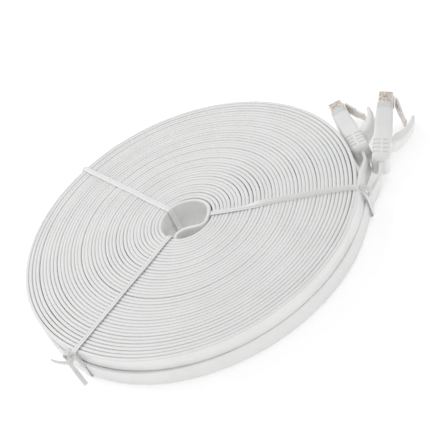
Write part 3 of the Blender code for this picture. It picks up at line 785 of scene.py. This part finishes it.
def boot_ring(low, high, radius):
    """(y, z) points round a rectangle with arc corners and extra points where features lie."""
    y_cuts = sorted(sign * y for y in (ARCH_CUT, *WEB_ON_Z) for sign in (-1, 1))
    z_cuts = sorted(sign * z for z in (*LATCH_NOTCH_EDGE, *WEB_ON_Y) for sign in (-1, 1))
    (y0, z0), (y1, z1) = low, high
    sides = [
        (y1 - radius, z1 - radius, 0, [(y, z1) for y in y_cuts[::-1]]),
        (y0 + radius, z1 - radius, 90, [(y0, z) for z in z_cuts[::-1]]),
        (y0 + radius, z0 + radius, 180, [(y, z0) for y in y_cuts]),
        (y1 - radius, z0 + radius, 270, [(y1, z) for z in z_cuts]),
    ]
    ring = []
    for y, z, start, side in sides:
        for step in range(CORNER_STEPS + 1):
            turn = math.radians(start + 90 * step / CORNER_STEPS)
            ring.append((y + radius * math.cos(turn), z + radius * math.sin(turn)))
        ring += side
    return ring


def outer_ring(inset):
    low = (BOOT_LOW + inset, -BOOT_HALF_WIDTH + inset)
    high = (BOOT_HIGH - inset, BOOT_HALF_WIDTH - inset)
    return boot_ring(low, high, BOOT_ROUND - 0.4 * inset)


def pocket_ring():
    low = (POCKET_LOW, -POCKET_HALF_WIDTH)
    return boot_ring(low, (POCKET_HIGH, POCKET_HALF_WIDTH), POCKET_ROUND)


def front_edge(y, z):
    """The sleeve's front: arched on its wide-apart faces and notched under the latch."""
    arch = FRONT_ARCH * (1 - (y / BOOT_HIGH) ** 2) * smoothstep(*ARCH_FADE, abs(z) / BOOT_HALF_WIDTH)
    notch = 0.0
    if y > 0.8 * POCKET_HIGH:
        notch = LATCH_NOTCH_DEPTH * (1 - smoothstep(*LATCH_NOTCH_EDGE, abs(z)))
    return SLEEVE_FRONT + max(0.0, arch) - notch


def groove_depth(x):
    """How far the corner grooves cut in at x."""
    depth = 0.0
    for rib in range(RIBS):
        middle = RIBS_FRONT - rib * RIB_PITCH - RIB_WIDTH / 2
        reach = abs(x - middle)
        depth = max(depth, 1 - smoothstep(0.3 * RIB_WIDTH, 0.62 * RIB_WIDTH, reach))
    return RIB_DEPTH * depth


def boot_inset(x):
    swell = FRONT_INSET * (x - BOOT_SWELL_END) / (SLEEVE_FRONT - BOOT_SWELL_END)
    collar = COLLAR_INSET if x > COLLAR_REAR else 0.0
    return max(0.0, swell) + collar


def outer_stations():
    """(x, inset) pairs along the boot's outside, from its front edge to its rear."""
    stations = [(SLEEVE_FRONT, boot_inset(SLEEVE_FRONT) + BOOT_LIP / 2)]
    edges = [SLEEVE_FRONT - BOOT_LIP, COLLAR_REAR + BOOT_LIP, COLLAR_REAR - BOOT_LIP]
    for x in edges + SLEEVE_STATIONS:
        stations.append((x, boot_inset(x)))
    stretch = GROOVED_REAR - GROOVED_FRONT
    for i in range(GROOVED_RINGS + 1):
        stations.append((GROOVED_FRONT + stretch * i / GROOVED_RINGS, 0.0))
    return stations + [(BOOT_REAR + ahead * MM, inset * MM) for ahead, inset in BOOT_TAPER]


def boot_mesh(name):
    pocket = pocket_ring()
    outlines = [[Vector((POCKET_FLOOR, y, z)) for y, z in pocket]]
    outlines.append([Vector((front_edge(y, z) - POCKET_SETBACK, y, z)) for y, z in pocket])
    for number, (x, inset) in enumerate(outer_stations()):
        plain = outer_ring(inset)
        grooved = outer_ring(inset + groove_depth(x))
        outline = []
        for (y, z), (deep_y, deep_z) in zip(plain, grooved):
            share = smoothstep(*WEB_ON_Z, abs(y)) * smoothstep(*WEB_ON_Y, abs(z))
            cut_y, cut_z = y + (deep_y - y) * share, z + (deep_z - z) * share
            front = front_edge(y, z)
            at = front if number == 0 else min(x, front - LEAST_STEP * number)
            if SLEEVE_FRONT > x > ARCH_REAR:
                at += max(0.0, front - SLEEVE_FRONT)
            outline.append(Vector((at, cut_y, cut_z)))
        outlines.append(outline)
    return loft(name, outlines)


# The horn's outer and inner lines from its root to its tip, as (x, y) in mm
GUARD_OUTER = [(-29.9, 3.4), (-29.4, 4.4), (-28.6, 6.4), (-26.4, 8.6), (-23.2, 11.0)]
GUARD_OUTER += [(-19.6, 12.7), (-15.4, 13.8), (-11.3, 14.0)]
GUARD_INNER = [(-25.4, 3.4), (-25.4, 4.4), (-24.0, 4.7), (-22.0, 6.3), (-20.0, 8.3)]
GUARD_INNER += [(-17.4, 10.3), (-14.4, 11.5), (-11.2, 12.0)]
GUARD_ROOT_WIDTH, GUARD_TIP_WIDTH = 8.4 * MM, 6.4 * MM
GUARD_SIDES = 24
DIMPLE = Vector((-27.5, 7.5)) * MM
DIMPLE_DEPTH = 0.55 * MM
DIMPLE_LENGTH, DIMPLE_WIDTH = 1.4 * MM, 2.0 * MM
TIP_STEPS = 3
# Points on each span of the horn's outer and inner lines
GUARD_STEPS = 7


def guard_mesh(name):
    """A crowned horn, widest at its root, with an oval dimple low on its outer side."""
    outer = open_curve([Vector((x, y, 0)) * MM for x, y in GUARD_OUTER], GUARD_STEPS)
    inner = open_curve([Vector((x, y, 0)) * MM for x, y in GUARD_INNER], GUARD_STEPS)
    last = len(outer) - 1
    outlines = []
    for i, (high, low) in enumerate(zip(outer, inner)):
        done = i / last
        middle, reach = (high + low) / 2, (high - low) / 2
        half_width = (GUARD_ROOT_WIDTH + (GUARD_TIP_WIDTH - GUARD_ROOT_WIDTH) * done) / 2
        left = max(0.0, i - last + TIP_STEPS) / TIP_STEPS
        rounding = math.sqrt(1 - (0.8 * left) ** 2)
        outline = []
        for corner in range(GUARD_SIDES):
            turn = 2 * math.pi * (corner + 0.5) / GUARD_SIDES
            a, b = math.cos(turn), math.sin(turn)
            square = (abs(a) ** 4 + abs(b) ** 4) ** -0.25
            point = middle + reach * (a * square * rounding)
            point.z = b * square * half_width * (0.6 + 0.4 * rounding)
            if a > 0:
                away = (point.xy - DIMPLE).length / DIMPLE_LENGTH
                dip = math.exp(-(away**2) - (point.z / DIMPLE_WIDTH) ** 4)
                point -= reach.normalized() * (DIMPLE_DEPTH * dip)
            outline.append(point)
        outlines.append(outline)
    return loft(name, outlines)


def make_boot(side, materials):
    to_world = plug_matrix(side)
    boot = new_object(f"moulded_boot_{side}", boot_mesh(f"moulded_boot_{side}"))
    boot.data.set_sharp_from_angle(angle=BOOT_SHARP_ANGLE)
    boot.data.transform(to_world)
    dress(boot, materials["boot"])
    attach(boot, "cable")
    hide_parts(f"boot_{side}")
    guard = new_object(f"guard_horn_{side}", guard_mesh(f"guard_horn_{side}"))
    guard.data.transform(to_world)
    dress(guard, materials["boot"])
    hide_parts(f"latch_guard_{side}")
    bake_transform(guard)
    return [boot, guard]


# ---- CAD pieces that keep their shapes ----

FINISHES = {
    "plug_housing": "clear",
    "load_bar": "clear",
    "latch_lever": "clear",
    "shield_shell": "shield",
    "contact": "gold",
    "conductor": "insulation",
}


def finish_cad_pieces(materials):
    for name, node in frame["nodes"].items():
        for kind, finish in FINISHES.items():
            if name.startswith(kind):
                node.data.materials.clear()
                node.data.materials.append(materials[finish])


def main():
    make_camera()
    materials = make_materials()
    make_boot("a", materials)
    boot_b = make_boot("b", materials)
    make_cable(materials)
    make_far_tie(materials)
    make_plugs_tie(materials)
    make_near_tie(materials)
    finish_cad_pieces(materials)
    make_floor(materials)
    make_light()


main()
